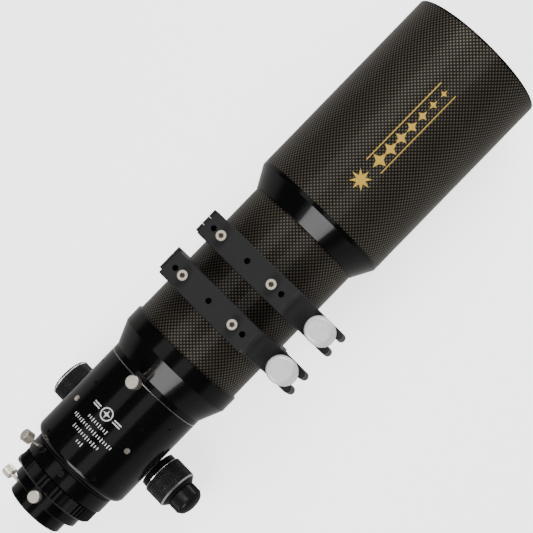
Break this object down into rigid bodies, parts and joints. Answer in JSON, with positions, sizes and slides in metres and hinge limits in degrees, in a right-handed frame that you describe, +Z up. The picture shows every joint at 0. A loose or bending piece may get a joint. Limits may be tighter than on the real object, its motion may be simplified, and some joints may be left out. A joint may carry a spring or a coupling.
{
  "type": "refractor telescope",
  "caption": "Carbon-tube refractor with a sliding dew shield, two hinged tube rings with clamp knobs and a rotating dual-speed rack focuser.",
  "frame": {"origin": "middle of the four-bolt pattern under the two ring bases, on their flat faces", "axes": "+X along the optical axis towards the objective, +Y to the rings' hinge side, +Z up, away from the ring bases"},
  "size_m": [0.6019, 0.1821, 0.156],
  "materials": {
    "carbon_weave": "woven carbon fibre under clear gloss lacquer",
    "gloss_black": "deep gloss black",
    "black_anodised": "satin black anodised",
    "matt_black": "matt anti-reflection black",
    "ring_anodised": "satin dark grey anodised, machined",
    "silver_knob": "bright satin silver, fine knurl",
    "stainless": "turned stainless steel",
    "black_steel": "black oxide steel",
    "gear_steel": "ground gear steel",
    "bronze": "sintered bronze",
    "brass_ring": "spring brass",
    "felt": "black felt",
    "coated_glass": "multi-coated optical glass"
  },
  "bodies": {
    "optical_tube": {"main_tube": "carbon_weave", "tube_baffles": "matt_black", "rear_adapter": "gloss_black", "rotation_keeper_ring": "black_anodised", "cell_mount": "black_anodised", "cell_guide_felt": "felt", "lens_cell": "black_anodised", "collimation_screws": "stainless", "flint_lens": "coated_glass", "lens_spacer": "matt_black", "crown_lens": "coated_glass", "lens_retaining_ring": "matt_black", "ring_liners": "felt", "ring_hinge_pins": "stainless", "ring_cap_screws": "stainless", "clamp_pivot_pins": "stainless", "ring_upper_rear": "ring_anodised", "ring_lower_rear": "ring_anodised", "ring_upper_front": "ring_anodised", "ring_lower_front": "ring_anodised"},
    "dew_shield": {"dew_shield_rear_ring": "gloss_black", "dew_shield_felt": "felt", "dew_shield_tube": "carbon_weave", "dew_shield_rim": "gloss_black"},
    "focuser": {"focuser_body": "gloss_black", "body_set_screws": "black_steel", "body_cap_screws": "stainless", "roller_axles": "stainless", "pinion_housing": "black_anodised", "housing_screws": "black_steel", "shaft_bushes": "bronze"},
    "sliding_drawtube": {"drawtube": "black_anodised", "drawtube_rack": "gear_steel", "rack_screws": "black_steel"},
    "coarse_drive": {"pinion_shaft": "gear_steel", "coarse_knob_left": "black_anodised", "coarse_knob_right": "black_anodised", "reducer_balls": "gear_steel"},
    "fine_drive": {"fine_shaft": "gear_steel", "fine_knob": "black_anodised"},
    "camera_rotator": {"rotator_collar": "gloss_black", "rotator_slotted_screw": "black_steel", "knurled_lock_ring": "gloss_black", "holder_two_inch": "gloss_black", "holder_brass_ring": "brass_ring"},
    "eyepiece_holder": {"eyepiece_adapter": "gloss_black", "eyepiece_brass_ring": "brass_ring"},
    "rotation_lock": {"rotation_lock_screw": "stainless"},
    "rotator_lock": {"rotator_lock_screw": "stainless"},
    "holder_lock_a": {"holder_screw_a": "stainless"},
    "holder_lock_b": {"holder_screw_b": "stainless"},
    "adapter_lock": {"adapter_screw": "stainless"},
    "swing_bolt_rear": {"clamp_bolt_rear": "stainless"},
    "clamp_nut_rear": {"clamp_knob_rear": "silver_knob"},
    "swing_bolt_front": {"clamp_bolt_front": "stainless"},
    "clamp_nut_front": {"clamp_knob_front": "silver_knob"},
    "roller_rear_right_wheel": {"roller_rear_right": "gear_steel"},
    "roller_rear_left_wheel": {"roller_rear_left": "gear_steel"},
    "roller_front_right_wheel": {"roller_front_right": "gear_steel"},
    "roller_front_left_wheel": {"roller_front_left": "gear_steel"}
  },
  "joints": [
    {"name": "dew_shield_slide", "type": "slide", "parent": "optical_tube", "child": "dew_shield", "axis": [1, 0, 0], "range_m": [-0.042, 0.0795]},
    {"name": "focuser_rotation", "type": "hinge", "parent": "optical_tube", "child": "focuser", "pos_m": [-0.1218, 0, 0.075], "axis": [1, 0, 0], "continuous": true},
    {"name": "drawtube_focus", "type": "slide", "parent": "focuser", "child": "sliding_drawtube", "axis": [-1, 0, 0], "range_m": [0, 0.075]},
    {"name": "coarse_focus", "type": "hinge", "parent": "focuser", "child": "coarse_drive", "pos_m": [-0.1823, 0, 0.027], "axis": [0, 1, 0], "range_deg": [-800, 800]},
    {"name": "fine_focus", "type": "hinge", "parent": "focuser", "child": "fine_drive", "pos_m": [-0.1823, 0, 0.027], "axis": [0, 1, 0], "range_deg": [-8000, 8000]},
    {"name": "camera_rotation", "type": "hinge", "parent": "sliding_drawtube", "child": "camera_rotator", "pos_m": [-0.2292, 0, 0.075], "axis": [1, 0, 0], "continuous": true},
    {"name": "eyepiece_slide", "type": "slide", "parent": "camera_rotator", "child": "eyepiece_holder", "axis": [-1, 0, 0], "range_m": [0, 0.025]},
    {"name": "rotation_lock_turn", "type": "hinge", "parent": "focuser", "child": "rotation_lock", "pos_m": [-0.1262, 0, 0.135], "axis": [0, 0, 1], "range_deg": [0, 360]},
    {"name": "rotator_lock_turn", "type": "hinge", "parent": "camera_rotator", "child": "rotator_lock", "pos_m": [-0.2348, 0, 0.075], "axis": [0, 0.7133, 0.7009], "range_deg": [0, 360]},
    {"name": "holder_lock_a_turn", "type": "hinge", "parent": "camera_rotator", "child": "holder_lock_a", "pos_m": [-0.2655, 0, 0.075], "axis": [0, -0.0958, 0.9954], "range_deg": [0, 360]},
    {"name": "holder_lock_b_turn", "type": "hinge", "parent": "camera_rotator", "child": "holder_lock_b", "pos_m": [-0.2655, 0, 0.075], "axis": [0, 0.91, -0.4147], "range_deg": [0, 360]},
    {"name": "adapter_lock_turn", "type": "hinge", "parent": "eyepiece_holder", "child": "adapter_lock", "pos_m": [-0.279, 0, 0.075], "axis": [0, 1, 0], "range_deg": [0, 360]},
    {"name": "roller_rear_right_spin", "type": "hinge", "parent": "focuser", "child": "roller_rear_right_wheel", "pos_m": [-0.2165, -0.02677, 0.11185], "axis": [0, 0.809, 0.5878], "range_deg": [-1300, 1300]},
    {"name": "roller_rear_left_spin", "type": "hinge", "parent": "focuser", "child": "roller_rear_left_wheel", "pos_m": [-0.2165, 0.02677, 0.11185], "axis": [0, 0.809, -0.5878], "range_deg": [-1300, 1300]},
    {"name": "roller_front_right_spin", "type": "hinge", "parent": "focuser", "child": "roller_front_right_wheel", "pos_m": [-0.1537, -0.02677, 0.11185], "axis": [0, 0.809, 0.5878], "range_deg": [-1300, 1300]},
    {"name": "roller_front_left_spin", "type": "hinge", "parent": "focuser", "child": "roller_front_left_wheel", "pos_m": [-0.1537, 0.02677, 0.11185], "axis": [0, 0.809, -0.5878], "range_deg": [-1300, 1300]},
    {"name": "clamp_swing_rear", "type": "hinge", "parent": "optical_tube", "child": "swing_bolt_rear", "pos_m": [-0.025, -0.0836, 0.0695], "axis": [1, 0, 0], "range_deg": [0, 90]},
    {"name": "clamp_back_off_rear", "type": "slide", "parent": "swing_bolt_rear", "child": "clamp_nut_rear", "axis": [0, 0, 1], "range_m": [0, 0.019]},
    {"name": "clamp_swing_front", "type": "hinge", "parent": "optical_tube", "child": "swing_bolt_front", "pos_m": [0.025, -0.0836, 0.0695], "axis": [1, 0, 0], "range_deg": [0, 90]},
    {"name": "clamp_back_off_front", "type": "slide", "parent": "swing_bolt_front", "child": "clamp_nut_front", "axis": [0, 0, 1], "range_m": [0, 0.019]}
  ],
  "couplings": [
    {"joint": "coarse_focus", "follows": "drawtube_focus", "rad_per_m": -178.57},
    {"joint": "fine_focus", "follows": "drawtube_focus", "rad_per_m": -1785.7},
    {"joint": "roller_rear_right_spin", "follows": "drawtube_focus", "rad_per_m": 285.71},
    {"joint": "roller_rear_left_spin", "follows": "drawtube_focus", "rad_per_m": 285.71},
    {"joint": "roller_front_right_spin", "follows": "drawtube_focus", "rad_per_m": 285.71},
    {"joint": "roller_front_left_spin", "follows": "drawtube_focus", "rad_per_m": 285.71},
    {"joint": "clamp_back_off_rear", "follows": "clamp_swing_rear", "m_per_rad": 0.012},
    {"joint": "clamp_back_off_front", "follows": "clamp_swing_front", "m_per_rad": 0.012}
  ]
}
